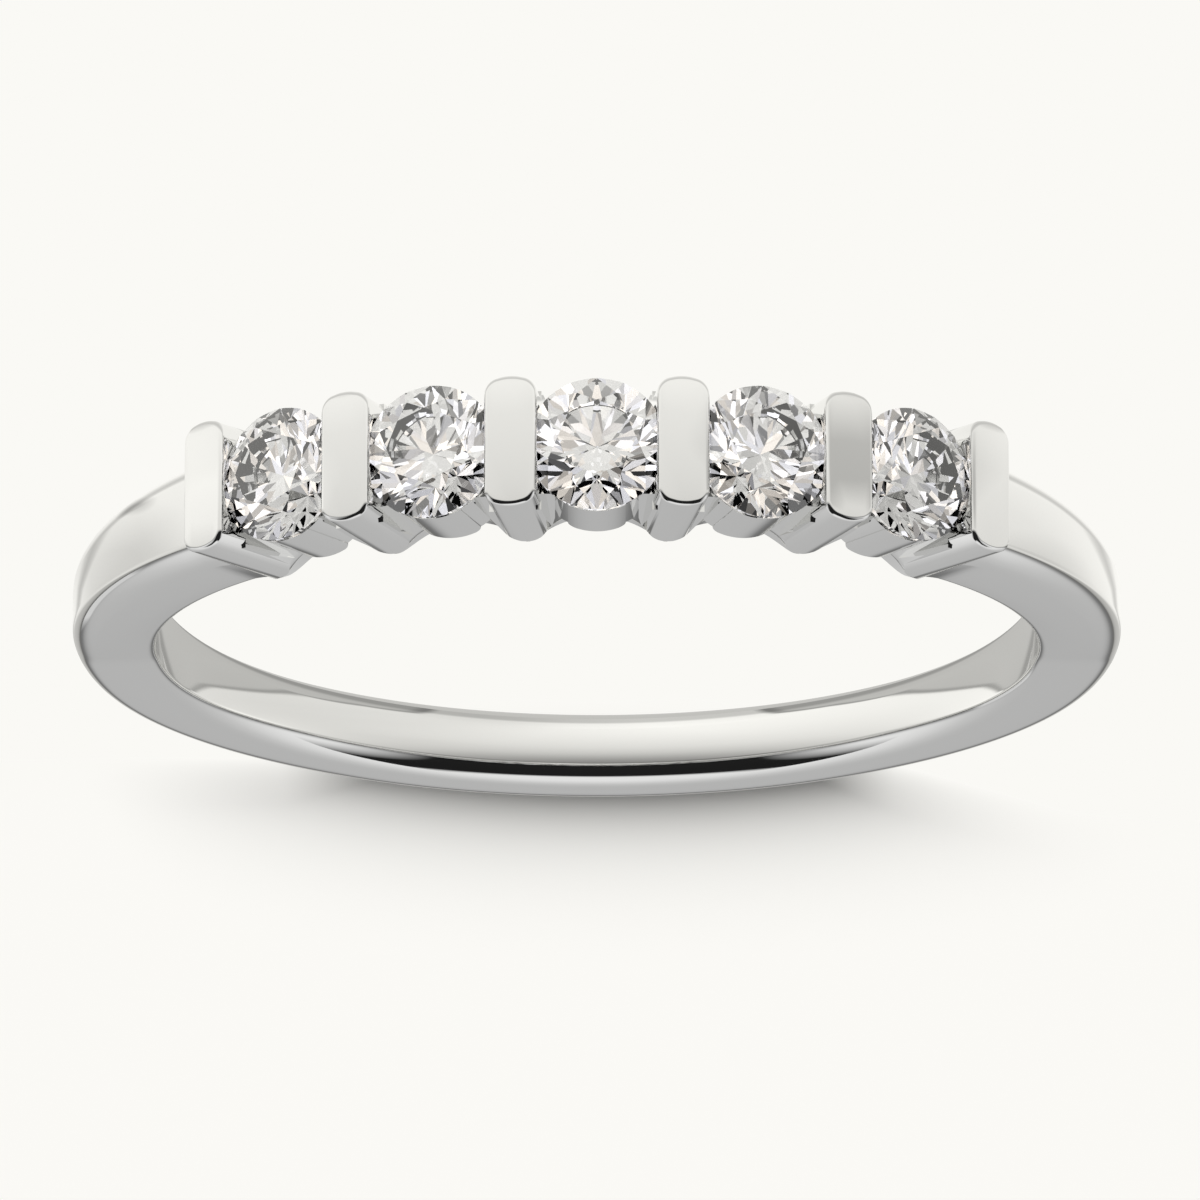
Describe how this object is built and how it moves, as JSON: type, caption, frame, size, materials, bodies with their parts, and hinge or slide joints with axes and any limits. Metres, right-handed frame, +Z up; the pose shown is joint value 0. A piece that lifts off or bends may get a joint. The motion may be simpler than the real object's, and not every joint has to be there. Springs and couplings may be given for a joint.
{
  "type": "five-stone diamond band",
  "caption": "Slim finger ring of polished white metal with a row of round cut stones held between upright cross bars.",
  "frame": {"origin": "on the surface that the ring lies on, below the middle of its box", "axes": "+Z up, nearly along the finger hole, which leans 1.86 degrees; -Y towards the stones; +X across the finger"},
  "size_m": [0.0206, 0.0216, 0.0027],
  "materials": {
    "white_gold": "white gold, high polish, rhodium plated",
    "diamond": "clear colourless diamond, flat polished facets"
  },
  "bodies": {
    "root": {"band": "white_gold", "stone_1": "diamond", "stone_2": "diamond", "stone_3": "diamond", "stone_4": "diamond", "stone_5": "diamond"}
  },
  "joints": []
}
